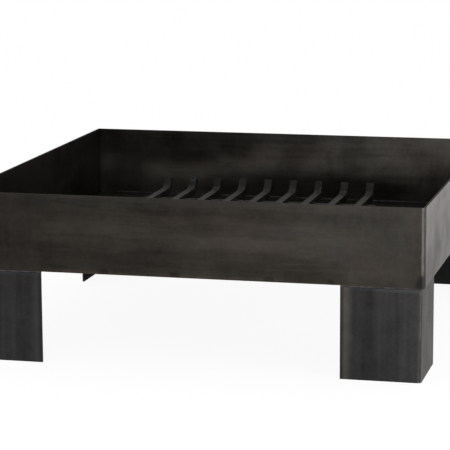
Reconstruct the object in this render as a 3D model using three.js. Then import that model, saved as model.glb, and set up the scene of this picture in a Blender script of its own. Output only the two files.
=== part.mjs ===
// A square fire pit of welded sheet steel: a shallow open tray on four folded angle legs, with a loose log grate
// that lifts out of it.
// Units are millimetres and +Z is up. The front faces -Y, and the origin is on the ground under the tray's middle.
import * as THREE from "three";

// ---- Driving dimensions ----
const TRAY_SIDE = 700; // outer width and depth of the square tray
const TRAY_BOTTOM = 140; // ground to the underside of the tray, which is also the legs' height
const WALL_HEIGHT = 117;
const SHEET = 3; // thickness of the tray's plates and of the legs

const LEG_FLANGE = 119; // outside width of each of a leg's two faces
const LEG_INSET = 4; // tray's outer face to the leg's outer face
const LEG_BEND_RADIUS = 6; // outside radius of the fold

const CORNER_ROUNDING = 1.5; // ground-off outer edge of the corner welds
const LEG_BEAD = 3.5; // leg length of the fillet bead round each leg's top
const SEAM_BEAD = 3; // leg length of the fillet bead round the tray's floor
const BEAD_CROWN = 0.35; // how far a bead bulges past its flat hypotenuse

const GRATE_WIDTH = 400; // length of the rails, along X
const GRATE_DEPTH = 400; // tip to tip of the bars, along Y
const RAIL_THICKNESS = 6;
const RAIL_HEIGHT = 34;
const RAIL_SPACING = 220; // between the two rails' middle planes
const RAIL_END_RADIUS = 4;
const FOOT_WIDTH = 36;
const FOOT_COUNT = 3; // feet along each rail
const ARCH_HEIGHT = 14; // air gap between the feet
const ARCH_RADIUS = 10;
const BAR_COUNT = 9;
const BAR_PITCH = 44;
const BAR_SIZE = 12; // square bar
const BAR_SEAT = 6; // depth of the notch that a bar lies in
const NOTCH_CLEARANCE = 0.3; // on each side of a bar
const BAR_BEND_RADIUS = 15; // inside radius of the turned-up ends
const BAR_BEND_ANGLE = THREE.MathUtils.degToRad(55);
const BAR_TIP = 14; // straight length past the bend

const ARC_STEPS = 8; // facets along each arc
const BEAD_STEPS = 5; // facets across a bead's crown

// ---- Worked-out dimensions ----
const HALF_OUTSIDE = TRAY_SIDE / 2;
const HALF_INSIDE = HALF_OUTSIDE - SHEET;
const WALL_TOP = TRAY_BOTTOM + WALL_HEIGHT;
const FLOOR_TOP = TRAY_BOTTOM + SHEET;
const LEG_FACE = HALF_OUTSIDE - LEG_INSET;
const LEG_END = LEG_FACE - LEG_FLANGE; // where each flange ends

// ---- Finishes ----
const trayMaterial = () => new THREE.MeshStandardMaterial({ color: 0x3a3733, roughness: 0.5, metalness: 0.75 });
const legMaterial = () => new THREE.MeshStandardMaterial({ color: 0x343535, roughness: 0.48, metalness: 0.75 });
const weldMaterial = () => new THREE.MeshStandardMaterial({ color: 0x6e6a66, roughness: 0.42, metalness: 0.85 });
const grateMaterial = () => new THREE.MeshStandardMaterial({ color: 0x2e2c2a, roughness: 0.65, metalness: 0.7 });

// ---- Geometry helpers ----
function named(name, geometry, material) {
  const mesh = new THREE.Mesh(geometry, material);
  mesh.name = name;
  return mesh;
}

// A flat rectangular plate given by its size and the middle of its underside.
function plate(name, material, [width, depth, height], [x, y, bottom]) {
  const mesh = named(name, new THREE.BoxGeometry(width, depth, height), material);
  mesh.position.set(x, y, bottom + height / 2);
  return mesh;
}

// A shape divides an arc into twice its curve segments.
function extruded(outline, depth) {
  return new THREE.ExtrudeGeometry(outline, { depth, bevelEnabled: false, curveSegments: ARC_STEPS / 2 });
}

// Stands an extrusion up: the outline's X and Y become the two given directions.
function uprighted(geometry, outlineX, outlineY) {
  const extrusion = new THREE.Vector3().crossVectors(outlineX, outlineY);
  return geometry.applyMatrix4(new THREE.Matrix4().makeBasis(outlineX, outlineY, extrusion));
}

// A closed solid that carries a convex section along stations on a level path. A station is a point and the
// direction in which the section's first coordinate runs there; the second coordinate is height.
function sweptSection(stations, section) {
  const positions = [];
  for (const { point, out } of stations) {
    for (const [across, height] of section) {
      positions.push(point.x + out.x * across, point.y + out.y * across, height);
    }
  }
  const ring = section.length;
  const last = (stations.length - 1) * ring;
  const faces = [];
  for (let start = 0; start < last; start += ring) {
    for (let k = 0; k < ring; k += 1) {
      const here = start + k;
      const next = start + ((k + 1) % ring);
      faces.push(here, here + ring, next, next, here + ring, next + ring);
    }
  }
  for (let k = 1; k + 1 < ring; k += 1) {
    faces.push(0, k, k + 1, last, last + k + 1, last + k);
  }
  const geometry = new THREE.BufferGeometry();
  geometry.setAttribute("position", new THREE.Float32BufferAttribute(positions, 3));
  geometry.setIndex(faces);
  geometry.computeVertexNormals();
  return geometry;
}

// The crowned triangle of a fillet bead in a corner at height 0: it reaches size outwards and size up, or down
// where rise is -1.
function beadSection(size, rise) {
  const section = [[0, 0]];
  for (let k = 0; k <= BEAD_STEPS; k += 1) {
    const t = k / BEAD_STEPS;
    const crown = BEAD_CROWN * Math.sin(Math.PI * t);
    section.push([size * (1 - t) + crown, rise * (size * t + crown)]);
  }
  return rise > 0 ? section : section.reverse();
}

// ---- Tray ----
function trayPlates() {
  const inside = 2 * HALF_INSIDE;
  const wallMiddle = HALF_INSIDE + SHEET / 2;
  return [
    plate("floor_plate", trayMaterial(), [inside, inside, SHEET], [0, 0, TRAY_BOTTOM]),
    plate("front_wall", trayMaterial(), [inside, SHEET, WALL_HEIGHT], [0, -wallMiddle, TRAY_BOTTOM]),
    plate("back_wall", trayMaterial(), [inside, SHEET, WALL_HEIGHT], [0, wallMiddle, TRAY_BOTTOM]),
    plate("left_wall", trayMaterial(), [SHEET, inside, WALL_HEIGHT], [-wallMiddle, 0, TRAY_BOTTOM]),
    plate("right_wall", trayMaterial(), [SHEET, inside, WALL_HEIGHT], [wallMiddle, 0, TRAY_BOTTOM]),
  ];
}

// The fillet bead along the inside of one wall's foot, mitred at both ends. It is drawn along the back wall and
// turned to each of the others.
function seamWeld(name, turn) {
  const mitred = Math.SQRT2;
  const stations = [-1, 1].map((side) => ({
    point: new THREE.Vector2(side * HALF_INSIDE, HALF_INSIDE),
    out: new THREE.Vector2(-side, -1).normalize().multiplyScalar(mitred),
  }));
  const section = beadSection(SEAM_BEAD, 1);
  const weld = named(name, sweptSection(stations, section), weldMaterial());
  weld.position.z = FLOOR_TOP;
  weld.rotation.z = turn;
  return weld;
}

// ---- Corners: each is drawn at the back right and mirrored to its own place ----
function cornerWeld(name) {
  const outline = new THREE.Shape();
  const roundingCentre = HALF_OUTSIDE - CORNER_ROUNDING;
  outline.moveTo(HALF_INSIDE, HALF_INSIDE);
  outline.lineTo(HALF_OUTSIDE, HALF_INSIDE);
  outline.absarc(roundingCentre, roundingCentre, CORNER_ROUNDING, 0, Math.PI / 2, false);
  outline.lineTo(HALF_INSIDE, HALF_OUTSIDE);
  const weld = named(name, extruded(outline, WALL_HEIGHT), weldMaterial());
  weld.position.z = TRAY_BOTTOM;
  return weld;
}

// A leg is one sheet folded to an L, open towards the tray's middle.
function leg(name) {
  const bendCentre = LEG_FACE - LEG_BEND_RADIUS;
  const innerFace = LEG_FACE - SHEET;
  const outline = new THREE.Shape();
  outline.moveTo(LEG_FACE, LEG_END);
  outline.lineTo(LEG_FACE, bendCentre);
  outline.absarc(bendCentre, bendCentre, LEG_BEND_RADIUS, 0, Math.PI / 2, false);
  outline.lineTo(LEG_END, LEG_FACE);
  outline.lineTo(LEG_END, innerFace);
  outline.absarc(bendCentre, bendCentre, LEG_BEND_RADIUS - SHEET, Math.PI / 2, 0, true);
  outline.lineTo(innerFace, LEG_END);
  return named(name, extruded(outline, TRAY_BOTTOM), legMaterial());
}

// The fillet bead that runs round the outside of a leg's top, under the tray.
function legWeld(name) {
  const bendCentre = new THREE.Vector2().setScalar(LEG_FACE - LEG_BEND_RADIUS);
  const stations = [];
  const alongX = new THREE.Vector2(1, 0);
  const alongY = new THREE.Vector2(0, 1);
  stations.push({ point: new THREE.Vector2(LEG_FACE, LEG_END), out: alongX });
  for (let k = 0; k <= ARC_STEPS; k += 1) {
    const angle = (k / ARC_STEPS) * (Math.PI / 2);
    const out = new THREE.Vector2(Math.cos(angle), Math.sin(angle));
    stations.push({ point: out.clone().multiplyScalar(LEG_BEND_RADIUS).add(bendCentre), out });
  }
  stations.push({ point: new THREE.Vector2(LEG_END, LEG_FACE), out: alongY });
  const weld = named(name, sweptSection(stations, beadSection(LEG_BEAD, -1)), weldMaterial());
  weld.position.z = TRAY_BOTTOM;
  return weld;
}

function corner(place, sideX, sideY) {
  const group = new THREE.Group();
  group.add(cornerWeld(`corner_weld_${place}`), leg(`leg_${place}`), legWeld(`leg_weld_${place}`));
  group.scale.set(sideX, sideY, 1);
  return group;
}

// ---- Log grate, drawn with its feet at height 0 ----
// A rail is a plate on edge: feet and arches along its lower edge, and a notch for each bar along its upper edge.
function railOutline() {
  const half = GRATE_WIDTH / 2;
  const outline = new THREE.Shape();
  outline.moveTo(-half, 0);
  const archSpan = (GRATE_WIDTH - FOOT_COUNT * FOOT_WIDTH) / (FOOT_COUNT - 1);
  for (let k = 0; k < FOOT_COUNT - 1; k += 1) {
    const start = -half + FOOT_WIDTH + k * (archSpan + FOOT_WIDTH);
    const shoulder = ARCH_HEIGHT - ARCH_RADIUS;
    outline.lineTo(start, 0);
    outline.absarc(start + ARCH_RADIUS, shoulder, ARCH_RADIUS, Math.PI, Math.PI / 2, true);
    outline.absarc(start + archSpan - ARCH_RADIUS, shoulder, ARCH_RADIUS, Math.PI / 2, 0, true);
    outline.lineTo(start + archSpan, 0);
  }
  outline.lineTo(half, 0);
  const endCentreX = half - RAIL_END_RADIUS;
  const endCentreZ = RAIL_HEIGHT - RAIL_END_RADIUS;
  outline.absarc(endCentreX, endCentreZ, RAIL_END_RADIUS, 0, Math.PI / 2, false);
  const halfNotch = BAR_SIZE / 2 + NOTCH_CLEARANCE;
  for (const x of barPlaces().reverse()) {
    outline.lineTo(x + halfNotch, RAIL_HEIGHT);
    outline.lineTo(x + halfNotch, RAIL_HEIGHT - BAR_SEAT);
    outline.lineTo(x - halfNotch, RAIL_HEIGHT - BAR_SEAT);
    outline.lineTo(x - halfNotch, RAIL_HEIGHT);
  }
  outline.absarc(-endCentreX, endCentreZ, RAIL_END_RADIUS, Math.PI / 2, Math.PI, false);
  return outline;
}

// A bar from the side: square bar stock, both ends bent up to keep logs from rolling off.
function barOutline() {
  const underside = RAIL_HEIGHT - BAR_SEAT;
  const outerRadius = BAR_BEND_RADIUS + BAR_SIZE;
  const centreZ = underside + outerRadius;
  const reach = outerRadius * Math.sin(BAR_BEND_ANGLE) + BAR_TIP * Math.cos(BAR_BEND_ANGLE);
  const bendY = GRATE_DEPTH / 2 - reach;
  const down = -Math.PI / 2;
  const tip = (side, radius) => [
    side * (bendY + radius * Math.sin(BAR_BEND_ANGLE) + BAR_TIP * Math.cos(BAR_BEND_ANGLE)),
    centreZ - radius * Math.cos(BAR_BEND_ANGLE) + BAR_TIP * Math.sin(BAR_BEND_ANGLE),
  ];
  const outline = new THREE.Shape();
  outline.absarc(bendY, centreZ, outerRadius, down, down + BAR_BEND_ANGLE, false);
  outline.lineTo(...tip(1, outerRadius));
  outline.lineTo(...tip(1, BAR_BEND_RADIUS));
  outline.absarc(bendY, centreZ, BAR_BEND_RADIUS, down + BAR_BEND_ANGLE, down, true);
  outline.absarc(-bendY, centreZ, BAR_BEND_RADIUS, down, down - BAR_BEND_ANGLE, true);
  outline.lineTo(...tip(-1, BAR_BEND_RADIUS));
  outline.lineTo(...tip(-1, outerRadius));
  outline.absarc(-bendY, centreZ, outerRadius, down - BAR_BEND_ANGLE, down, false);
  return outline;
}

function barPlaces() {
  return Array.from({ length: BAR_COUNT }, (_, k) => (k - (BAR_COUNT - 1) / 2) * BAR_PITCH);
}

function logGrate() {
  const grate = new THREE.Group();
  const alongX = new THREE.Vector3(1, 0, 0);
  const alongY = new THREE.Vector3(0, 1, 0);
  const up = new THREE.Vector3(0, 0, 1);
  for (const [place, side] of [["front", -1], ["back", 1]]) {
    const geometry = uprighted(extruded(railOutline(), RAIL_THICKNESS), alongX, up);
    const rail = named(`grate_rail_${place}`, geometry, grateMaterial());
    rail.position.y = (side * RAIL_SPACING) / 2 + RAIL_THICKNESS / 2; // the extrusion runs towards -Y
    grate.add(rail);
  }
  barPlaces().forEach((x, k) => {
    const geometry = uprighted(extruded(barOutline(), BAR_SIZE), alongY, up);
    const bar = named(`grate_bar_${k + 1}`, geometry, grateMaterial());
    bar.position.x = x - BAR_SIZE / 2;
    grate.add(bar);
  });
  grate.position.z = FLOOR_TOP;
  return grate;
}

const firePit = new THREE.Group();
firePit.add(...trayPlates());
for (const [k, wall] of ["back", "left", "front", "right"].entries()) {
  firePit.add(seamWeld(`seam_weld_${wall}`, (k * Math.PI) / 2));
}
for (const [place, sideX, sideY] of [
  ["front_left", -1, -1],
  ["front_right", 1, -1],
  ["back_left", -1, 1],
  ["back_right", 1, 1],
]) {
  firePit.add(corner(place, sideX, sideY));
}
firePit.add(logGrate());

export default firePit;
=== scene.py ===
import math

import bpy
from bpy.props import FloatProperty, FloatVectorProperty, IntProperty, PointerProperty
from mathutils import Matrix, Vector, noise


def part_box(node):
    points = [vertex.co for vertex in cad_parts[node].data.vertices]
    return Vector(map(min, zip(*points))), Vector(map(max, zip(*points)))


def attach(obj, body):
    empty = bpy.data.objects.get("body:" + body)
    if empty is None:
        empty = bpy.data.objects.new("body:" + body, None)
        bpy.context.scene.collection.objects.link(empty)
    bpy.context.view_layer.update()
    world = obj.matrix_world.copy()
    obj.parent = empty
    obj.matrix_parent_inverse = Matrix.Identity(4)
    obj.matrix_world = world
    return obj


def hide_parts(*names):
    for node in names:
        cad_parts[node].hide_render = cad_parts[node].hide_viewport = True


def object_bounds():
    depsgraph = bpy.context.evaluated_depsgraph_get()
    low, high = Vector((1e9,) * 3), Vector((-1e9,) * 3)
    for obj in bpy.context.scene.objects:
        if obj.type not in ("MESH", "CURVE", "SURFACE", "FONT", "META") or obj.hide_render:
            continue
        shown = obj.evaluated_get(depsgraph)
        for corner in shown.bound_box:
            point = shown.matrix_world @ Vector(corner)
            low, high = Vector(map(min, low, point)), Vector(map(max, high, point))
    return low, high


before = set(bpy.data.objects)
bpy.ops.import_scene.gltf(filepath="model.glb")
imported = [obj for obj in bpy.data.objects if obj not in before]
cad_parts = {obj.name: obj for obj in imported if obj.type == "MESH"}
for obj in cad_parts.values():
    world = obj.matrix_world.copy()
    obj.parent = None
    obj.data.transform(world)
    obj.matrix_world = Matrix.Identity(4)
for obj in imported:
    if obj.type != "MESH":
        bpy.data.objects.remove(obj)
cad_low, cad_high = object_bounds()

bl_info = {
    "name": "Steel Fire Pit",
    "version": (1, 0, 0),
    "blender": (4, 5, 0),
    "location": "View3D > Sidebar > Fire Pit",
    "description": "Finishes a square welded fire pit and its log grate, and sets them in a pale studio",
    "category": "Object",
}

# ---- Names and places that come from the frame ----
PIT = "pit"
GRATE = "grate"
CORNERS = ("front_left", "front_right", "back_left", "back_right")
GROUND_WALLS = ("front_wall", "back_wall")  # the grinder was run along these faces
SIDE_WALLS = ("left_wall", "right_wall")
LEGS = [f"leg_{corner}" for corner in CORNERS]
RAILS = ("grate_rail_front", "grate_rail_back")
BARS = sorted(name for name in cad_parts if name.startswith("grate_bar_"))

HALF_TRAY = cad_high.x
RIM = cad_high.z
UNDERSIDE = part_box("floor_plate")[0].z
FLOOR_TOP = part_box("floor_plate")[1].z
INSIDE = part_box("floor_plate")[1].x
LEG_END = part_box("leg_back_right")[0].x
LEG_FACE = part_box("leg_back_right")[1].x

# ---- Sizes and shares that the frame doesn't give ----
MM = 0.001
LEG_FOLD = 6 * MM  # outside radius of a leg's fold
CORNER_ROUNDING = 1.5 * MM  # where the grinder ran over a corner weld
FILED_EDGE = 0.3 * MM  # along the cut edges of the tray's plates
LEG_BEAD = 3.3 * MM
SEAM_BEAD = 2.8 * MM
TACK_BEAD = 2.6 * MM
SCALE_METALLIC = 0.9  # mill scale and weld metal shine nearly as bare steel does
SCRATCH_SHARE = 0.05  # of bare metal's tone in a scratch


# ---- What a user would change ----
class SteelSettings(bpy.types.PropertyGroup):
    """Colours and surface of the sheet, bar and weld metal."""

    tray_tone: FloatVectorProperty(
        name="Tray Scale",
        description="Mill scale on the tray's plates, a brown grey",
        subtype="COLOR",
        min=0,
        max=1,
        default=(0.0282, 0.0253, 0.0207),
    )
    leg_tone: FloatVectorProperty(
        name="Leg Scale",
        description="Mill scale on the folded legs, a neutral grey",
        subtype="COLOR",
        min=0,
        max=1,
        default=(0.0232, 0.0233, 0.0233),
    )
    grate_tone: FloatVectorProperty(
        name="Grate Scale",
        description="Scale on the grate's bars and rails, nearly black",
        subtype="COLOR",
        min=0,
        max=1,
        default=(0.0085, 0.0081, 0.0076),
    )
    weld_tone: FloatVectorProperty(
        name="Weld Metal",
        description="Bright metal where a weld has been ground flush",
        subtype="COLOR",
        min=0,
        max=1,
        default=(0.110, 0.1035, 0.097),
    )
    brown_tint: FloatVectorProperty(
        name="Brown Tint",
        description="Brown that heat leaves in the scale, away from the weld",
        subtype="COLOR",
        min=0,
        max=1,
        default=(0.0300, 0.0232, 0.0200),
    )
    blue_tint: FloatVectorProperty(
        name="Blue Tint",
        description="Blue grey that heat leaves in the scale, beside the weld",
        subtype="COLOR",
        min=0,
        max=1,
        default=(0.0258, 0.0280, 0.0308),
    )
    tray_roughness: FloatProperty(
        name="Tray Roughness",
        description="Mean roughness of the tray's scale",
        default=0.33,
        min=0.05,
        max=1,
    )
    leg_roughness: FloatProperty(
        name="Leg Roughness",
        description="Mean roughness of the legs' scale",
        default=0.42,
        min=0.05,
        max=1,
    )
    grazing_sheen: FloatVectorProperty(
        name="Grazing Sheen",
        description="How much of the light the scale gives back where it is seen nearly edge-on",
        subtype="COLOR",
        min=0,
        max=1,
        default=(0.77, 0.745, 0.73),
    )
    tack_pitch: FloatProperty(
        name="Tack Pitch",
        description="Distance between two tack welds under the floor's seam, which burn the wall's foot",
        subtype="DISTANCE",
        unit="LENGTH",
        default=0.112,
        min=0.02,
        max=0.5,
    )
    edge_break: FloatProperty(
        name="Edge Break",
        description="Width of the deburred edge of every leg, rail and bar",
        subtype="DISTANCE",
        unit="LENGTH",
        default=0.0005,
        min=0,
        max=0.002,
    )


class WeldSettings(bpy.types.PropertyGroup):
    """Size and unevenness of the weld beads."""

    ripple_pitch: FloatProperty(
        name="Ripple Pitch",
        description="Distance between two ripples of a bead",
        subtype="DISTANCE",
        unit="LENGTH",
        default=0.0034,
        min=0.001,
        max=0.01,
    )
    ripple_depth: FloatProperty(
        name="Ripple Depth",
        description="How far a ripple stands above the one before it",
        subtype="DISTANCE",
        unit="LENGTH",
        default=0.00035,
        min=0,
        max=0.001,
    )
    ground_depth: FloatProperty(
        name="Grinding Depth",
        description="How far the grinder dips below flush along the tray's corners",
        subtype="DISTANCE",
        unit="LENGTH",
        default=0.00030,
        min=0,
        max=0.001,
    )
    seed: IntProperty(
        name="Seed",
        description="Picks the unevenness of the beads",
        default=7,
        min=0,
    )


class StudioSettings(bpy.types.PropertyGroup):
    """Camera, lamps and floor."""

    camera_place: FloatVectorProperty(
        name="Camera",
        description="Where the camera stands",
        subtype="TRANSLATION",
        unit="LENGTH",
        default=(0.7911, -3.3101, 0.7838),
    )
    camera_turn: FloatVectorProperty(
        name="Camera Angles",
        description="Tilt, roll and turn of the camera",
        subtype="EULER",
        unit="ROTATION",
        default=(math.radians(79.556), math.radians(0.302), math.radians(13.862)),
    )
    lens: FloatProperty(
        name="Lens",
        description="Focal length in millimetres on a 36 mm sensor",
        default=170.93,
        min=20,
        max=400,
    )
    soft_light: FloatProperty(
        name="Soft Light",
        description="Strength of the even light from all round",
        default=0.6,
        min=0,
        max=2,
    )
    key_strength: FloatProperty(
        name="Key Strength",
        description="Strength of the wide soft light from the front right",
        default=0.8,
        min=0,
        max=10,
    )
    top_strength: FloatProperty(
        name="Top Strength",
        description="Strength of the wide soft light from overhead",
        default=0.9,
        min=0,
        max=10,
    )
    front_power: FloatProperty(
        name="Front Power",
        description="Power in watts of the low softbox in front of the pit",
        default=10,
        min=0,
        max=500,
    )
    front_place: FloatVectorProperty(
        name="Front Softbox",
        description="Where the low softbox stands",
        subtype="TRANSLATION",
        unit="LENGTH",
        default=(0.15, -2.5, 0.42),
    )
    side_power: FloatProperty(
        name="Side Power",
        description="Power in watts of the softbox to the right of the pit",
        default=25,
        min=0,
        max=500,
    )
    side_place: FloatVectorProperty(
        name="Side Softbox",
        description="Where the side softbox stands",
        subtype="TRANSLATION",
        unit="LENGTH",
        default=(2.2, -1.2, 0.8),
    )
    floor_tone: FloatProperty(
        name="Floor Tone",
        description="How pale the floor is",
        default=0.9,
        min=0,
        max=1,
    )
    shadow_share: FloatProperty(
        name="Shadow Share",
        description="Share of the floor's own shading that shows under plain white",
        subtype="FACTOR",
        default=0.07,
        min=0,
        max=1,
    )


# ---- Shader building ----
def times(factor, parts):
    """A tone or a set of rates, every part of it times the factor."""
    return tuple(factor * part for part in parts)


class Finish:
    """One material, with its nodes added and linked in the order that the surface is built up."""

    def __init__(self, name):
        self.material = bpy.data.materials.new(name)
        self.material.use_nodes = True
        self.tree = self.material.node_tree
        self.surface = self.tree.nodes["Principled BSDF"]
        self.place = self.add("ShaderNodeTexCoord").outputs["Object"]
        self.x, self.y, self.z = self.add("ShaderNodeSeparateXYZ", {"Vector": self.place}).outputs

    def add(self, kind, inputs=None, **settings):
        """A new node with these settings, its inputs fed from sockets or set to constants."""
        made = self.tree.nodes.new(kind)
        for key, value in settings.items():
            setattr(made, key, value)
        for key, value in (inputs or {}).items():
            self.feed(made.inputs[key], value)
        return made

    def feed(self, socket, value):
        """Links the socket to another node's output, or sets it to a constant."""
        if isinstance(value, bpy.types.NodeSocket):
            self.tree.links.new(value, socket)
        elif socket.type == "RGBA":
            socket.default_value = (*value, 1.0)
        else:
            socket.default_value = value

    def calc(self, operation, a, b=0.0, c=0.0):
        return self.add("ShaderNodeMath", {0: a, 1: b, 2: c}, operation=operation).outputs[0]

    def product(self, first, *others):
        for other in others:
            first = self.calc("MULTIPLY", first, other)
        return first

    def opposite(self, mask):
        """0 where the mask is 1, and 1 where it is 0."""
        return self.calc("SUBTRACT", 1.0, mask)

    def stretched(self, rates, offset=(0.0, 0.0, 0.0)):
        """Object coordinates times three rates, so a low rate draws a pattern out along its axis."""
        inputs = {0: self.place, 1: rates, 2: offset}
        return self.add("ShaderNodeVectorMath", inputs, operation="MULTIPLY_ADD").outputs["Vector"]

    def cloud(self, vector, scale=1.0, detail=4.0, roughness=0.55, distortion=0.0):
        """Soft noise around 0.5, about scale patches to a metre."""
        settings = {"Scale": scale, "Detail": detail, "Roughness": roughness, "Distortion": distortion}
        return self.add("ShaderNodeTexNoise", {"Vector": vector, **settings}).outputs["Fac"]

    def ramp(self, value, low, high, to_low=0.0, to_high=1.0):
        """Smoothly from to_low at low to to_high at high."""
        ends = {"From Min": low, "From Max": high, "To Min": to_low, "To Max": to_high}
        made = self.add("ShaderNodeMapRange", {"Value": value, **ends}, interpolation_type="SMOOTHSTEP")
        return made.outputs["Result"]

    def varied(self, value, pattern, spread, amount):
        """The value, up to the amount darker or lighter as the pattern strays by the spread from 0.5."""
        return self.calc("ADD", value, self.ramp(pattern, 0.5 - spread, 0.5 + spread, -amount, amount))

    def uneven(self, distance, pattern, amount):
        """The distance, shifted by the pattern times the amount."""
        return self.calc("MULTIPLY_ADD", pattern, amount, distance)

    def mixed(self, share, colour, other):
        made = self.add("ShaderNodeMix", data_type="RGBA")
        self.feed(made.inputs[0], share)
        self.feed(made.inputs[6], colour)
        self.feed(made.inputs[7], other)
        return made.outputs[2]

    def shaded(self, colour, value):
        """The colour, made darker or lighter by value."""
        made = self.add("ShaderNodeVectorMath", {0: colour, "Scale": value}, operation="SCALE")
        return made.outputs["Vector"]

    def shaded_at(self, mask, colour, value):
        """The colour, made darker or lighter by value where the mask is 1."""
        return self.shaded(colour, self.ramp(mask, 0.0, 1.0, 1.0, value))

    def bump(self, height, distance, strength, below=None):
        inputs = {"Height": height, "Distance": distance, "Strength": strength}
        if below is not None:
            inputs["Normal"] = below
        return self.add("ShaderNodeBump", inputs).outputs["Normal"]

    def done(self, colour, roughness, metallic, normal, sheen):
        """Feeds the surface and gives the material."""
        for name, value in {
            "Base Color": colour,
            "Roughness": roughness,
            "Metallic": metallic,
            "Normal": normal,
            "Specular IOR Level": 0.3,
            "Specular Tint": sheen,
        }.items():
            self.feed(self.surface.inputs[name], value)
        return self.material


# ---- Places on a surface, and marks that several finishes use ----
def along_face(f):
    """The horizontal coordinate that runs along a wall or a leg's flange, whichever way it faces."""
    return f.calc("MINIMUM", f.calc("ABSOLUTE", f.x), f.calc("ABSOLUTE", f.y))


def outer_face(f, outside):
    """1 on the outer side of a sheet whose outer side is that far from the middle, 0 on its inner side."""
    outwards = f.calc("MAXIMUM", f.calc("ABSOLUTE", f.x), f.calc("ABSOLUTE", f.y))
    return f.ramp(outwards, outside - 2 * MM, outside - 1 * MM)


def facing_diagonally(f):
    """0 where the surface faces straight along X or Y, and up to 0.7 where it faces between them."""
    normal = f.add("ShaderNodeNewGeometry").outputs["Normal"]
    x, y = f.add("ShaderNodeSeparateXYZ", {"Vector": normal}).outputs[:2]
    return f.calc("MINIMUM", f.calc("ABSOLUTE", x), f.calc("ABSOLUTE", y))


def spot(f, across, half_width, up, half_height, wander):
    """1 within a ragged ellipse, fading to 0 just past its edge."""
    across = f.calc("DIVIDE", across, half_width)
    up = f.calc("DIVIDE", up, half_height)
    radius = f.calc("SQRT", f.calc("ADD", f.product(across, across), f.product(up, up)))
    return f.ramp(f.uneven(radius, wander, -0.5), 1.1, 0.6)


def burnt_tone(steel):
    """The dark purple grey that is left where a weld ends."""
    return tuple(0.25 * (brown + blue) for brown, blue in zip(steel.brown_tint, steel.blue_tint))


def fine_specks(f):
    """The mottling of mill scale, from 6 mm across down to a tenth of a millimetre."""
    return f.cloud(f.place, 170, detail=6, roughness=0.75)


def scale_relief(f, patches, grain_size):
    """The fine orange-peel grain of mill scale, lying on slow unevenness of the sheet."""
    grain = f.cloud(f.place, 1 / grain_size, detail=2, roughness=0.5)
    slow = f.bump(patches, 0.6 * MM, 0.35)
    return f.bump(grain, 0.03 * MM, 0.6, below=slow)


def scratched(f, steel, colour, rates):
    """The colour with sparse hair-thin marks, drawn out along the axis that has the lowest rate."""
    lines = f.cloud(f.stretched(rates), detail=1, roughness=0.3)
    gaps = f.cloud(f.place, 11, detail=2)
    marks = f.product(f.ramp(lines, 0.67, 0.71), f.ramp(gaps, 0.52, 0.62))
    return f.mixed(f.product(marks, SCRATCH_SHARE), colour, steel.weld_tone)


# ---- The tray's finish ----
class TrayFinish(Finish):
    """The finish of a tray plate, with the places that its marks are laid out by."""

    def __init__(self, name):
        super().__init__(name)
        self.height = self.calc("SUBTRACT", self.z, UNDERSIDE)
        self.from_corner = self.calc("SUBTRACT", HALF_TRAY, along_face(self))
        self.outside = outer_face(self, HALF_TRAY)
        self.inside = self.opposite(self.outside)
        evenly = self.stretched((17, 17, 17), (18.9, 15.4, 14.8))
        self.patches = self.cloud(evenly, detail=6, roughness=0.62)
        self.wander = self.calc("SUBTRACT", self.cloud(self.stretched((14, 14, 30)), detail=4), 0.5)
        above_end = self.calc("SUBTRACT", self.height, 4 * MM)
        weld_end = spot(self, self.from_corner, 13.5 * MM, above_end, 19 * MM, self.wander)
        self.weld_end = self.product(weld_end, self.outside)


def rolled_value(f, flow):
    """How light the tray's scale is: broad areas, laid so they also paint light, the rolls' streaks,
    patches and specks.
    """
    # Painted light: the broad areas lie so that the front wall is lighter to the right and the back wall's
    # inside lighter at its upper right.
    broad = f.cloud(f.stretched((1.4, 6.6, 11.0), (18.3, 1.575, 0.6)), detail=3, roughness=0.5)
    streaks = f.cloud(f.stretched(flow, (8.5, 8.4, 5.0)), detail=5, roughness=0.6)
    value = f.ramp(broad, 0.30, 0.70, 0.65, 1.19)
    value = f.varied(value, streaks, 0.20, 0.13)
    value = f.varied(value, f.patches, 0.20, 0.12)
    value = f.varied(value, fine_specks(f), 0.15, 0.08)

    # Thin sharp streaks lie over these, and near the corners the welder's wiping up and down replaces them.
    rolled = f.cloud(f.stretched(times(4.5, flow), (9.2, 6.1, 0.6)), detail=4, roughness=0.65)
    wiped = f.cloud(f.stretched((46, 46, 5), (7.1, 3.3, 9.4)), detail=3, roughness=0.6)
    near_corner = f.ramp(f.from_corner, 150 * MM, 70 * MM)
    rolling = f.product(f.ramp(rolled, 0.45, 0.55, -0.08, 0.08), f.opposite(near_corner))
    wiping = f.product(f.ramp(wiped, 0.42, 0.58, -0.06, 0.06), near_corner)
    return f.calc("ADD", value, f.calc("ADD", wiping, rolling))


def tinted_scale(f, steel, value):
    """The tray's scale with brown and blue areas, and a trace of blue under the rim."""
    colour = f.shaded(steel.tray_tone, value)
    browner = f.cloud(f.stretched((7, 7, 11), (9.4, 5.1, 16.4)), detail=3)
    brown = f.shaded(steel.brown_tint, f.calc("MULTIPLY", value, 0.98))
    colour = f.mixed(f.ramp(browner, 0.50, 0.62, 0.0, 0.5), colour, brown)

    bluer = f.cloud(f.stretched((6, 6, 13), (4.2, 2.6, 12.0)), detail=3)
    blue = f.shaded(steel.blue_tint, f.calc("MULTIPLY", value, 0.9))
    near_rim = f.ramp(f.uneven(f.z, f.patches, 10 * MM), RIM - 14 * MM, RIM + 2 * MM, 0.0, 0.15)
    blue_share = f.calc("MAXIMUM", near_rim, f.ramp(bluer, 0.50, 0.64, 0.0, 0.2))
    return f.mixed(blue_share, colour, blue)


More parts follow.
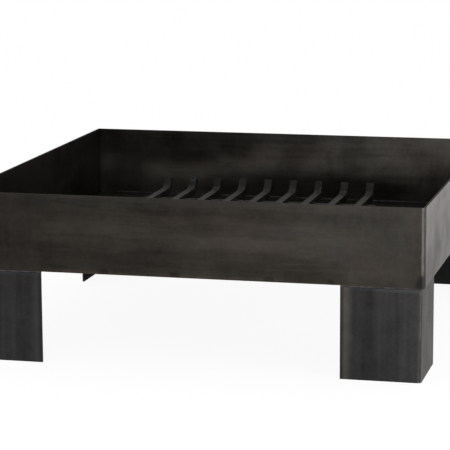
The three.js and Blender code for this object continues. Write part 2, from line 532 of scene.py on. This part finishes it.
def foot_marks(f, steel, colour):
    """The long weld inside a wall's foot darkens the outside between the legs, most of all at each tack."""
    between_legs = f.product(f.ramp(f.from_corner, 105 * MM, 135 * MM), f.outside)
    uneven_height = f.uneven(f.height, f.wander, -40 * MM)
    heat = f.product(f.ramp(uneven_height, 44 * MM, 30 * MM), f.ramp(uneven_height, 0.0, 16 * MM, 0.3, 1.0))
    colour = f.shaded_at(f.product(heat, between_legs), colour, 0.82)

    # A bright brown line follows the cut edge at the very foot.
    line = f.ramp(f.uneven(f.height, f.wander, -12 * MM), 5.5 * MM, 1.5 * MM)
    line = f.product(line, f.ramp(f.patches, 0.40, 0.60, 0.2, 0.6), between_legs)
    red, green, blue = steel.brown_tint
    colour = f.mixed(line, colour, (1.65 * red, 1.5 * green, 1.25 * blue))

    # The tacks were set by eye, so their distances drift.
    half_pitch = 0.5 * steel.tack_pitch
    drift = f.cloud(f.stretched((5, 5, 5), (15.6, 7.4, 9.9)), detail=0)
    along_foot = f.calc("ADD", f.calc("ADD", f.x, f.y), 90 * MM)
    from_tack = f.calc("WRAP", f.uneven(along_foot, drift, 120 * MM), -half_pitch, half_pitch)
    above_tack = f.calc("SUBTRACT", f.height, 3 * MM)
    tack = spot(f, from_tack, 9 * MM, above_tack, 6 * MM, f.calc("MULTIPLY", f.wander, 2.5))
    return f.shaded(colour, f.ramp(f.product(tack, between_legs), 0.2, 1.0, 1.0, 0.66))


def corner_marks(f, steel, colour):
    """The corner weld leaves a brown band at a little distance, and a burnt spot where it ends."""
    reach = f.uneven(f.from_corner, f.wander, -16 * MM)
    band = f.product(f.ramp(reach, 7 * MM, 12 * MM), f.ramp(reach, 34 * MM, 18 * MM), f.outside)
    colour = f.mixed(f.product(band, 0.35), colour, steel.brown_tint)
    return f.mixed(f.product(f.weld_end, 0.9), colour, burnt_tone(steel))


def painted_light_inside(f, colour):
    """Painted light on the inside of the front and back walls: lighter in broad patches, less so close
    under the rim.
    """
    painted_light_patches = f.cloud(f.stretched((2.2, 2.2, 8), (14.9, 10.6, 16.1)), detail=2, roughness=0.5)
    painted_light_share = f.product(f.ramp(painted_light_patches, 0.42, 0.60), f.inside)
    return f.shaded_at(painted_light_share, colour, f.ramp(f.z, RIM - 5 * MM, RIM - 38 * MM, 1.85, 3.2))


def tray_scale(steel, name, flow, ground_corners):
    """Brown-grey mill scale of a tray plate, with heat marks at its welds and a dark sheared rim."""
    f = TrayFinish(name)
    value = rolled_value(f, flow)
    colour = tinted_scale(f, steel, value)

    # The faces that the fire reaches are greyer than the outside, most of all the side walls and the floor.
    grey_share = f.product(f.inside, 0.3 if ground_corners else 0.7)
    colour = f.mixed(grey_share, colour, f.shaded(steel.leg_tone, value))
    colour = foot_marks(f, steel, colour)
    colour = corner_marks(f, steel, colour)
    # Painted reflection: the sheen grows from the foot towards the rim.
    painted_reflection_up = f.ramp(f.z, UNDERSIDE, RIM, 0.97, 1.17)
    sheen = f.shaded(steel.grazing_sheen, f.product(f.calc("MULTIPLY_ADD", value, 0.18, 0.84), painted_reflection_up))

    # Beside its corner the grinder bares a strip of a front or back wall; a side wall is darker and duller
    # in a strip beside its corner.
    strip_edge = f.uneven(f.from_corner, f.cloud(f.place, 70, detail=3), 1.6 * MM)
    if ground_corners:
        # Painted light on the inside of the front and back walls.
        colour = painted_light_inside(f, colour)
        strip = f.product(f.ramp(strip_edge, 5.8 * MM, 4.8 * MM), f.opposite(f.weld_end), f.outside)
        colour = f.mixed(strip, colour, steel.weld_tone)
    else:
        strip = f.product(f.ramp(strip_edge, 14.5 * MM, 10.5 * MM), f.outside)
        colour = f.shaded_at(strip, colour, 0.45)
        sheen = f.shaded_at(strip, sheen, 0.75)

    colour = scratched(f, steel, colour, times(24, flow))
    sheared = f.ramp(f.z, RIM - 0.5 * MM, RIM - 0.15 * MM)
    colour = f.shaded_at(sheared, colour, 0.3)
    roughness = f.ramp(f.patches, 0.30, 0.70, steel.tray_roughness - 0.04, steel.tray_roughness + 0.05)
    roughness = f.calc("MAXIMUM", f.calc("MULTIPLY_ADD", strip, 0.12, roughness), sheared)
    metallic = f.product(f.opposite(sheared), SCALE_METALLIC)
    return f.done(colour, roughness, metallic, scale_relief(f, f.patches, 1.1 * MM), sheen)


# ---- The legs' finish ----
class LegFinish(Finish):
    """The finish of a folded leg, with the places that its marks are laid out by."""

    def __init__(self, name):
        super().__init__(name)
        self.along = along_face(self)
        self.into_fold = self.calc("SUBTRACT", LEG_FACE, self.along)
        self.outside = outer_face(self, LEG_FACE)
        self.patches = self.cloud(self.place, 24, detail=6, roughness=0.62, distortion=0.5)
        self.wander = self.calc("SUBTRACT", self.cloud(self.stretched((20, 20, 9)), detail=3), 0.5)


def banded_value(f):
    """How light a leg's scale is: bands and thin lines up and down, patches, specks, and painted light on
    and beside the fold.
    """
    bands = f.cloud(f.stretched((34, 34, 1.6), (17.9, 8.0, 11.4)), detail=3, roughness=0.5)
    drawn = f.cloud(f.stretched((120, 120, 6), (5.2, 1.7, 8.8)), detail=3, roughness=0.6)
    value = f.varied(f.ramp(bands, 0.28, 0.72, 0.79, 1.32), drawn, 0.06, 0.06)
    value = f.calc("ADD", value, f.ramp(f.patches, 0.30, 0.70, -0.13, 0.11))
    value = f.varied(value, fine_specks(f), 0.15, 0.08)
    # Painted light: the face beside the fold is lighter.
    painted_light_beside_fold = f.ramp(f.uneven(f.into_fold, f.wander, 10 * MM), 36 * MM, 30 * MM, 1.0, 1.28)

    # Painted highlight on the fold: lighter all over at the foot, and towards the top only along its
    # middle.
    towards_top = f.ramp(f.z, 50 * MM, 85 * MM)
    painted_fold_highlight = f.calc("MULTIPLY_ADD", towards_top, -0.40, 1.6)
    painted_fold_highlight = f.ramp(f.into_fold, 6.5 * MM, 3.5 * MM, 1.0, painted_fold_highlight)
    middle = f.product(f.ramp(f.into_fold, 2.8 * MM, 2.0 * MM), towards_top)
    return f.product(value, painted_light_beside_fold, painted_fold_highlight, f.ramp(middle, 0.0, 1.0, 1.0, 2.5))


def edge_strip(f, steel, colour):
    """A paler strip along a flange's cut edge, grey and brown by turns."""
    from_edge = f.calc("SUBTRACT", f.along, LEG_END)
    turns = f.cloud(f.stretched((1.8, 1.8, 5), (18.2, 17.9, 5.5)), detail=2, roughness=0.5)
    strip = f.product(
        f.ramp(from_edge, 1.5 * MM, 8.5 * MM),
        f.ramp(f.uneven(from_edge, f.wander, -12 * MM), 22 * MM, 3 * MM),
        f.ramp(turns, 0.40, 0.60, 0.55, 1.0),
        f.ramp(f.patches, 0.30, 0.60, 0.75, 1.0),
    )
    brown = tuple(1.6 * tray + 0.8 * leg for tray, leg in zip(steel.tray_tone, steel.leg_tone))
    tone = f.mixed(f.ramp(turns, 0.40, 0.60), times(2.0, steel.leg_tone), brown)
    return f.mixed(strip, colour, tone)


def top_margin(f, steel, colour):
    """The bead round the top leaves a blue-grey margin, made palest towards the fold by painted light, and
    some brown below.
    """
    below_weld = f.uneven(f.calc("SUBTRACT", UNDERSIDE, f.z), f.wander, 8 * MM)
    # Painted light: the blue-grey margin's share grows from the cut edge towards the fold.
    blue = f.product(f.ramp(below_weld, 10 * MM, 2 * MM), f.ramp(f.along, LEG_END, LEG_FACE, 0.15, 0.8))
    colour = f.mixed(blue, colour, times(2.0, steel.blue_tint))
    brown = f.product(f.ramp(below_weld, 7 * MM, 14 * MM), f.ramp(below_weld, 32 * MM, 17 * MM), 0.2)
    return f.mixed(brown, colour, steel.brown_tint)


def leg_scale(steel):
    """Neutral grey mill scale of a folded leg, with painted shade on its inner side: darker and duller
    there.
    """
    f = LegFinish("leg_mill_scale")
    value = banded_value(f)
    bluer = f.cloud(f.stretched((17, 17, 5), (2.9, 7.3, 1.1)), detail=3)
    colour = f.shaded(steel.leg_tone, value)
    colour = f.mixed(f.ramp(bluer, 0.46, 0.70, 0.0, 0.3), colour, steel.blue_tint)
    colour = edge_strip(f, steel, colour)
    colour = top_margin(f, steel, colour)
    colour = scratched(f, steel, colour, (420, 420, 12))
    # Painted shade: the leg's inner side, under the tray, is darker and gives back less sheen.
    colour = f.shaded(colour, f.ramp(f.outside, 0.0, 1.0, 0.6, 1.0))
    roughness = f.ramp(f.patches, 0.30, 0.70, steel.leg_roughness - 0.04, steel.leg_roughness + 0.05)
    painted_shade_inside = f.ramp(f.outside, 0.0, 1.0, 0.12, 0.9)
    sheen = f.shaded(steel.grazing_sheen, f.product(f.calc("MULTIPLY_ADD", value, 0.4, 0.6), painted_shade_inside))
    return f.done(colour, roughness, SCALE_METALLIC, scale_relief(f, f.patches, 1.1 * MM), sheen)


# ---- The welds' and the grate's finishes ----
def ground_weld(steel):
    """A corner weld after the grinder: bright and brushed across, with painted shade on its rounding, and
    dark where it ends.
    """
    f = Finish("ground_weld_metal")
    marks = f.cloud(f.stretched((60, 60, 1500)), detail=2)
    patches = f.cloud(f.stretched((90, 90, 40)), detail=3)
    value = f.calc("ADD", f.ramp(marks, 0.30, 0.70, 0.85, 1.08), f.ramp(patches, 0.35, 0.70, -0.18, 0.08))
    # Painted shade: colour and sheen are halved where the surface turns between the two walls.
    painted_shade_on_rounding = f.ramp(f.ramp(facing_diagonally(f), 0.15, 0.45), 0.0, 1.0, 1.0, 0.5)
    colour = f.shaded(steel.weld_tone, f.product(value, painted_shade_on_rounding))
    from_end = f.uneven(f.calc("SUBTRACT", f.z, UNDERSIDE), patches, 12 * MM)
    colour = f.mixed(f.ramp(from_end, 29 * MM, 19 * MM, 0.0, 0.7), colour, burnt_tone(steel))
    sheen = f.shaded(steel.grazing_sheen, painted_shade_on_rounding)
    roughness = f.ramp(marks, 0.30, 0.70, 0.34, 0.46)
    return f.done(colour, roughness, SCALE_METALLIC, f.bump(marks, 0.05 * MM, 0.6), sheen)


def bead_metal(steel, name, value):
    """A fillet bead as it cooled: grey, with blue and brown patches."""
    f = Finish(name)
    bluer = f.cloud(f.place, 75, detail=4)
    colour = f.mixed(f.ramp(bluer, 0.42, 0.60), times(0.45, steel.weld_tone), steel.blue_tint)
    browner = f.cloud(f.stretched((50, 50, 50), (4.0, 4.0, 4.0)), detail=3)
    colour = f.mixed(f.ramp(browner, 0.52, 0.66, 0.0, 0.7), colour, steel.brown_tint)
    soot = f.cloud(f.place, 220, detail=3)
    colour = f.shaded(colour, f.ramp(soot, 0.30, 0.70, 0.75 * value, 1.2 * value))
    sheen = times(min(1.0, value), steel.grazing_sheen)
    roughness = f.ramp(soot, 0.30, 0.70, 0.34, 0.50)
    return f.done(colour, roughness, SCALE_METALLIC, f.bump(soot, 0.1 * MM, 0.4), sheen)


def grate_scale(steel):
    """Nearly black scale on the grate's bars and rails, with brown areas and small blue-grey flakes."""
    f = Finish("grate_mill_scale")
    patches = f.cloud(f.place, 38, detail=6, roughness=0.65, distortion=0.5)
    specks = f.cloud(f.place, 240, detail=3, roughness=0.6)
    value = f.varied(f.ramp(patches, 0.30, 0.70, 0.55, 1.5), specks, 0.20, 0.15)
    colour = f.shaded(steel.grate_tone, value)
    browner = f.cloud(f.stretched((13, 13, 13), (3.1, 6.4, 0.8)), detail=4, roughness=0.6)
    colour = f.mixed(f.ramp(browner, 0.50, 0.66, 0.0, 0.6), colour, times(0.5, steel.brown_tint))
    flakes = f.cloud(f.place, 130, detail=4, roughness=0.7)
    colour = f.mixed(f.ramp(flakes, 0.58, 0.64, 0.0, 0.7), colour, times(0.8, steel.blue_tint))
    roughness = f.ramp(patches, 0.30, 0.70, 0.48, 0.62)
    return f.done(colour, roughness, 0.8, scale_relief(f, flakes, 0.9 * MM), steel.grazing_sheen)


# ---- Dressing the frame's own nodes ----
def dress(node_name, material, edge_break):
    """Gives a node its finish and breaks its sharp edges, once its triangles are joined."""
    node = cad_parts[node_name]
    node.material_slots[0].material = material
    weld = node.modifiers.new("join_triangles", "WELD")
    weld.merge_threshold = 0.01 * MM
    bevel = node.modifiers.new("broken_edges", "BEVEL")
    bevel.width = edge_break
    bevel.segments = 2
    bevel.limit_method = "ANGLE"
    bevel.angle_limit = math.radians(40)


# ---- Welds ----
def swept(rings):
    """Vertices and faces of a closed body through rings that have the same number of points."""
    width = len(rings[0])
    last = (len(rings) - 1) * width
    faces = [tuple(reversed(range(width))), tuple(range(last, last + width))]
    for start in range(0, last, width):
        for k in range(width):
            here = start + k
            following = start + (k + 1) % width
            faces.append((here, following, following + width, here + width))
    return [point for ring in rings for point in ring], faces


def place_along(stations, distance):
    """The point, out and up at a distance along stations, each of which is (point, out, up)."""
    for (p0, out0, up0), (p1, out1, up1) in zip(stations, stations[1:]):
        span = (p1 - p0).length
        if distance <= span:
            break
        distance -= span
    share = min(1.0, distance / span)
    return p0.lerp(p1, share), out0.lerp(out1, share), up0.lerp(up1, share)


def fillet_bead(stations, size, weld, source, rounded_ends=True):
    """A rippled fillet bead in the corner that the stations run along."""
    steps_across = 8
    rings_per_ripple = 6
    wander_rate = 90  # per metre of the bead
    wander_share = 0.07
    crown_share = 0.12
    ripple_lag = 0.9  # share of the pitch by which the middle of a ripple trails its ends
    total = sum((b[0] - a[0]).length for a, b in zip(stations, stations[1:]))
    count = max(8, round(rings_per_ripple * total / weld.ripple_pitch))
    rings = []
    for k in range(count + 1):
        along = total * k / count
        root, out, up = place_along(stations, along)
        reach = size * (1 + wander_share * noise.noise(Vector((wander_rate * along, 0.37, source))))
        if rounded_ends:
            to_end = max(0.0, min(1.0, along / size, (total - along) / size))
            reach *= max(0.2, math.sqrt(1 - (1 - to_end) ** 2))
        ring = [root]
        for j in range(steps_across + 1):
            t = j / steps_across
            bulge = math.sin(math.pi * t)
            ripple = along / weld.ripple_pitch + ripple_lag * bulge
            rise = weld.ripple_depth * (1 - ripple % 1) * bulge
            crown = crown_share * reach * bulge + rise
            ring.append(root + out * (reach * (1 - t) + crown) + up * (reach * t + crown))
        rings.append(ring)
    return swept(rings)


def ground_corner(weld, source):
    """The weld that fills the back right corner, ground flush: it dips a little, never past the walls."""
    arc_steps = 6
    steps_up = 120
    wave_rate = 70  # per metre of height
    fine_rate = 400
    across_rate = 300
    centre = HALF_TRAY - CORNER_ROUNDING
    outline = [(INSIDE, INSIDE), (HALF_TRAY, INSIDE)]
    for k in range(arc_steps + 1):
        angle = math.pi / 2 * k / arc_steps
        x = centre + CORNER_ROUNDING * math.cos(angle)
        y = centre + CORNER_ROUNDING * math.sin(angle)
        outline.append((x, y))
    outline.append((INSIDE, HALF_TRAY))
    rings = []
    for k in range(steps_up + 1):
        z = UNDERSIDE + (RIM - UNDERSIDE) * k / steps_up
        ring = []
        for x, y in outline:
            across = across_rate * (x - y)
            waves = noise.noise(Vector((wave_rate * z, across, source)))
            fine = noise.noise(Vector((fine_rate * z, across, source + 5)))
            dip = weld.ground_depth * (0.5 + 0.5 * waves + 0.25 * fine)
            ring.append(Vector((max(INSIDE, x - dip), max(INSIDE, y - dip), z)))
        rings.append(ring)
    return swept(rings)


def mirrored(shape, corner):
    """A shape drawn at the back right, at another corner of the tray."""
    points, faces = shape
    side_x = -1 if "left" in corner else 1
    side_y = -1 if "front" in corner else 1
    points = [Vector((side_x * p.x, side_y * p.y, p.z)) for p in points]
    if side_x * side_y < 0:
        faces = [tuple(reversed(face)) for face in faces]
    return points, faces


def weld_piece(name, shapes, material, body, smooth_limit=30):
    """One piece from closed shapes, each of which is (points, faces), riding on a body."""
    vertices = []
    polygons = []
    for points, faces in shapes:
        start = len(vertices)
        vertices.extend(points)
        polygons.extend(tuple(start + k for k in face) for face in faces)
    mesh = bpy.data.meshes.new(name)
    mesh.from_pydata(vertices, [], polygons)
    mesh.materials.append(material)
    mesh.shade_smooth()
    mesh.set_sharp_from_angle(angle=math.radians(smooth_limit))
    piece = bpy.data.objects.new(name, mesh)
    bpy.context.scene.collection.objects.link(piece)
    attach(piece, body)
    return piece


def leg_top_stations():
    """Round the outside of the back right leg's top, from the end of one flange to the end of the other."""
    arc_steps = 8
    down = Vector((0, 0, -1))
    centre = Vector((LEG_FACE - LEG_FOLD, LEG_FACE - LEG_FOLD, UNDERSIDE))
    stations = [(Vector((LEG_FACE, LEG_END, UNDERSIDE)), Vector((1, 0, 0)), down)]
    for k in range(arc_steps + 1):
        angle = math.pi / 2 * k / arc_steps
        out = Vector((math.cos(angle), math.sin(angle), 0))
        stations.append((centre + LEG_FOLD * out, out, down))
    stations.append((Vector((LEG_END, LEG_FACE, UNDERSIDE)), Vector((0, 1, 0)), down))
    return stations[::-1]


def seam_stations(turn):
    """Along the inside foot of the back wall, mitred at both ends, and turned to another wall."""
    spin = Vector((math.cos(turn), math.sin(turn)))
    mitre = 3 * MM
    stations = []
    for place, lean in ((-INSIDE, 1), (mitre - INSIDE, 0), (INSIDE - mitre, 0), (INSIDE, -1)):
        point = Vector((spin.x * place - spin.y * INSIDE, spin.y * place + spin.x * INSIDE, FLOOR_TOP))
        out = Vector((spin.x * lean + spin.y, spin.y * lean - spin.x, 0))
        stations.append((point, out, Vector((0, 0, 1))))
    return stations[::-1]


def tack_stations(bar, rail, side):
    """Across a rail's upper edge, in the corner that it makes with one side of a bar."""
    bar_low, bar_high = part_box(bar)
    rail_low, rail_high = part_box(rail)
    x = bar_high.x if side > 0 else bar_low.x
    ends = (rail_low.y, rail_high.y) if side < 0 else (rail_high.y, rail_low.y)
    return [(Vector((x, y, rail_high.z)), Vector((side, 0, 0)), Vector((0, 0, 1))) for y in ends]


# ---- Operators ----
class FIREPIT_OT_tray(bpy.types.Operator):
    """Finish the floor plate and the four walls"""

    bl_idname = "fire_pit.tray"
    bl_label = "Tray Plates"

    def execute(self, context):
        steel = context.scene.fire_pit_steel
        along_walls = (1.6, 1.6, 26)
        along_x = (1.6, 18, 18)
        ground = tray_scale(steel, "mill_scale_ground_corners", along_walls, ground_corners=True)
        unground = tray_scale(steel, "mill_scale_side_walls", along_walls, ground_corners=False)
        floor = tray_scale(steel, "mill_scale_floor_plate", along_x, ground_corners=False)
        for name in GROUND_WALLS:
            dress(name, ground, FILED_EDGE)
        for name in SIDE_WALLS:
            dress(name, unground, FILED_EDGE)
        dress("floor_plate", floor, FILED_EDGE)
        return {"FINISHED"}


class FIREPIT_OT_corner_welds(bpy.types.Operator):
    """Fill the tray's corners with welds that have been ground flush"""

    bl_idname = "fire_pit.corner_welds"
    bl_label = "Corner Welds"

    def execute(self, context):
        weld = context.scene.fire_pit_weld
        metal = ground_weld(context.scene.fire_pit_steel)
        for k, corner in enumerate(CORNERS):
            shape = mirrored(ground_corner(weld, weld.seed + k), corner)
            piece = weld_piece(f"corner_weld_{corner}_ground", [shape], metal, PIT, smooth_limit=50)
            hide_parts(f"corner_weld_{corner}")
        return {"FINISHED"}


class FIREPIT_OT_legs(bpy.types.Operator):
    """Finish the four folded legs"""

    bl_idname = "fire_pit.legs"
    bl_label = "Legs"

    def execute(self, context):
        steel = context.scene.fire_pit_steel
        scale = leg_scale(steel)
        for name in LEGS:
            dress(name, scale, steel.edge_break)
        return {"FINISHED"}


class FIREPIT_OT_beads(bpy.types.Operator):
    """Lay the rippled beads round the legs' tops and along the floor's edges"""

    bl_idname = "fire_pit.beads"
    bl_label = "Weld Beads"

    def execute(self, context):
        steel = context.scene.fire_pit_steel
        weld = context.scene.fire_pit_weld
        # The beads round the legs' tops are painted 1.7 times lighter: painted light against the shade
        # under the tray's lip.
        metal = bead_metal(steel, "leg_bead_metal_painted_light", value=1.7)
        # The beads along the floor's edges, in the crease inside the walls, are painted darker: painted
        # shade.
        painted_shade_bead_metal = bead_metal(steel, "seam_bead_metal_painted_shade", value=0.35)
        for k, corner in enumerate(CORNERS):
            shape = fillet_bead(leg_top_stations(), LEG_BEAD, weld, weld.seed + 10 + k)
            piece = weld_piece(f"leg_weld_{corner}_bead", [mirrored(shape, corner)], metal, PIT)
            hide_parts(f"leg_weld_{corner}")
        for k, side in enumerate(("back", "left", "front", "right")):
            stations = seam_stations(math.pi / 2 * k)
            shape = fillet_bead(stations, SEAM_BEAD, weld, weld.seed + 20 + k, rounded_ends=False)
            piece = weld_piece(f"seam_weld_{side}_bead", [shape], painted_shade_bead_metal, PIT)
            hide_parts(f"seam_weld_{side}")
        return {"FINISHED"}


class FIREPIT_OT_grate(bpy.types.Operator):
    """Finish the grate's rails and bars, and tack each bar to the rails"""

    bl_idname = "fire_pit.grate"
    bl_label = "Log Grate"

    def execute(self, context):
        steel = context.scene.fire_pit_steel
        weld = context.scene.fire_pit_weld
        scale = grate_scale(steel)
        for name in (*RAILS, *BARS):
            dress(name, scale, steel.edge_break)
        places = [(bar, rail, side) for bar in BARS for rail in RAILS for side in (-1, 1)]
        tacks = [
            fillet_bead(tack_stations(*place), TACK_BEAD, weld, weld.seed + 30 + k)
            for k, place in enumerate(places)
        ]
        weld_piece("grate_tacks", tacks, bead_metal(steel, "tack_metal", value=0.5), GRATE)
        return {"FINISHED"}


class FIREPIT_OT_studio(bpy.types.Operator):
    """Set up the camera, the soft lights and the pale floor"""

    bl_idname = "fire_pit.studio"
    bl_label = "Studio"

    def execute(self, context):
        scene = context.scene
        studio = scene.fire_pit_studio
        add_camera(scene, studio)
        add_surroundings(scene, studio)
        add_floor(scene, studio)
        add_soft_light(scene, "key_light", studio.key_strength, direction=(1.0, -1.6, 1.5))
        add_soft_light(scene, "top_light", studio.top_strength, direction=(-0.2, 0.2, 1.0))
        add_softbox(scene, "front_softbox", studio.front_power, studio.front_place, width=0.4, height=0.25)
        add_softbox(scene, "side_softbox", studio.side_power, studio.side_place, width=0.8, height=0.8)
        scene.view_settings.view_transform = "Standard"
        return {"FINISHED"}


# ---- Studio ----
def add_camera(scene, studio):
    camera = bpy.data.cameras.new("camera")
    camera.sensor_width = 36
    camera.lens = studio.lens
    camera.clip_end = 100
    holder = bpy.data.objects.new("camera", camera)
    holder.location = studio.camera_place
    holder.rotation_euler = studio.camera_turn
    scene.collection.objects.link(holder)
    scene.camera = holder


def seen_directly(tree):
    """1 where the camera, a mirror or glass shows the surface, and 0 for the light that it gives."""
    path = tree.nodes.new("ShaderNodeLightPath")
    share = path.outputs["Is Camera Ray"]
    for ray in ("Is Glossy Ray", "Is Transmission Ray"):
        larger = tree.nodes.new("ShaderNodeMath")
        larger.operation = "MAXIMUM"
        tree.links.new(share, larger.inputs[0])
        tree.links.new(path.outputs[ray], larger.inputs[1])
        share = larger.outputs[0]
    return share


def add_surroundings(scene, studio):
    """Even soft light from all round, seen as plain white."""
    world = bpy.data.worlds.new("surroundings")
    scene.world = world
    world.use_nodes = True
    tree = world.node_tree
    light = tree.nodes["Background"]
    light.inputs["Color"].default_value = (1, 1, 1, 1)
    light.inputs["Strength"].default_value = studio.soft_light
    white = tree.nodes.new("ShaderNodeBackground")
    white.inputs["Color"].default_value = (1, 1, 1, 1)
    either = tree.nodes.new("ShaderNodeMixShader")
    tree.links.new(seen_directly(tree), either.inputs[0])
    tree.links.new(light.outputs[0], either.inputs[1])
    tree.links.new(white.outputs[0], either.inputs[2])
    tree.links.new(either.outputs[0], tree.nodes["World Output"].inputs["Surface"])


def add_floor(scene, studio):
    """A pale floor that keeps the pit's shadow under plain white."""
    half_side = 30
    mesh = bpy.data.meshes.new("floor")
    corners = [(x * half_side, y * half_side, 0) for x, y in ((-1, -1), (1, -1), (1, 1), (-1, 1))]
    mesh.from_pydata(corners, [], [(0, 1, 2, 3)])
    floor = bpy.data.objects.new("floor", mesh)
    scene.collection.objects.link(floor)

    material = bpy.data.materials.new("pale_floor")
    material.use_nodes = True
    mesh.materials.append(material)
    tree = material.node_tree
    matt = tree.nodes["Principled BSDF"]
    matt.inputs["Base Color"].default_value = (*[studio.floor_tone] * 3, 1)
    matt.inputs["Roughness"].default_value = 0.9
    white = tree.nodes.new("ShaderNodeEmission")
    share = tree.nodes.new("ShaderNodeMath")
    share.operation = "MULTIPLY"
    share.inputs[1].default_value = 1 - studio.shadow_share
    tree.links.new(seen_directly(tree), share.inputs[0])
    either = tree.nodes.new("ShaderNodeMixShader")
    tree.links.new(share.outputs[0], either.inputs[0])
    tree.links.new(matt.outputs[0], either.inputs[1])
    tree.links.new(white.outputs[0], either.inputs[2])
    tree.links.new(either.outputs[0], tree.nodes["Material Output"].inputs["Surface"])


def add_soft_light(scene, name, strength, direction):
    """A wide light, the same all over the floor. direction points from the pit to the light."""
    lamp = bpy.data.lights.new(name, "SUN")
    lamp.energy = strength
    lamp.angle = math.radians(60)
    holder = bpy.data.objects.new(name, lamp)
    holder.rotation_euler = (-Vector(direction)).to_track_quat("-Z", "Y").to_euler()
    scene.collection.objects.link(holder)


def add_softbox(scene, name, power, place, width, height):
    """A small panel of light, turned towards the tray."""
    lamp = bpy.data.lights.new(name, "AREA")
    lamp.shape = "RECTANGLE"
    lamp.size = width
    lamp.size_y = height
    lamp.energy = power
    holder = bpy.data.objects.new(name, lamp)
    holder.location = place
    towards_tray = Vector((0, 0, UNDERSIDE)) - Vector(place)
    holder.rotation_euler = towards_tray.to_track_quat("-Z", "Y").to_euler()
    scene.collection.objects.link(holder)


# ---- Sidebar ----
STEPS = (
    "tray",
    "corner_welds",
    "legs",
    "beads",
    "grate",
    "studio",
)


class FIREPIT_PT_sidebar(bpy.types.Panel):
    """Lists the steps and their settings"""

    bl_idname = "FIREPIT_PT_sidebar"
    bl_label = "Fire Pit"
    bl_space_type = "VIEW_3D"
    bl_region_type = "UI"
    bl_category = "Fire Pit"

    def draw(self, context):
        scene = context.scene
        for group in (scene.fire_pit_steel, scene.fire_pit_weld, scene.fire_pit_studio):
            box = self.layout.box()
            for name in type(group).__annotations__:
                box.prop(group, name)
        for step in STEPS:
            self.layout.operator(f"fire_pit.{step}")


CLASSES = (
    SteelSettings,
    WeldSettings,
    StudioSettings,
    FIREPIT_OT_tray,
    FIREPIT_OT_corner_welds,
    FIREPIT_OT_legs,
    FIREPIT_OT_beads,
    FIREPIT_OT_grate,
    FIREPIT_OT_studio,
    FIREPIT_PT_sidebar,
)


def register():
    for each in CLASSES:
        bpy.utils.register_class(each)
    bpy.types.Scene.fire_pit_steel = PointerProperty(type=SteelSettings)
    bpy.types.Scene.fire_pit_weld = PointerProperty(type=WeldSettings)
    bpy.types.Scene.fire_pit_studio = PointerProperty(type=StudioSettings)


def unregister():
    del bpy.types.Scene.fire_pit_studio
    del bpy.types.Scene.fire_pit_weld
    del bpy.types.Scene.fire_pit_steel
    for each in reversed(CLASSES):
        bpy.utils.unregister_class(each)


def main():
    """Dresses and sets up the pit step by step."""
    register()
    for step in STEPS:
        getattr(bpy.ops.fire_pit, step)()


if __name__ == "__main__":
    main()
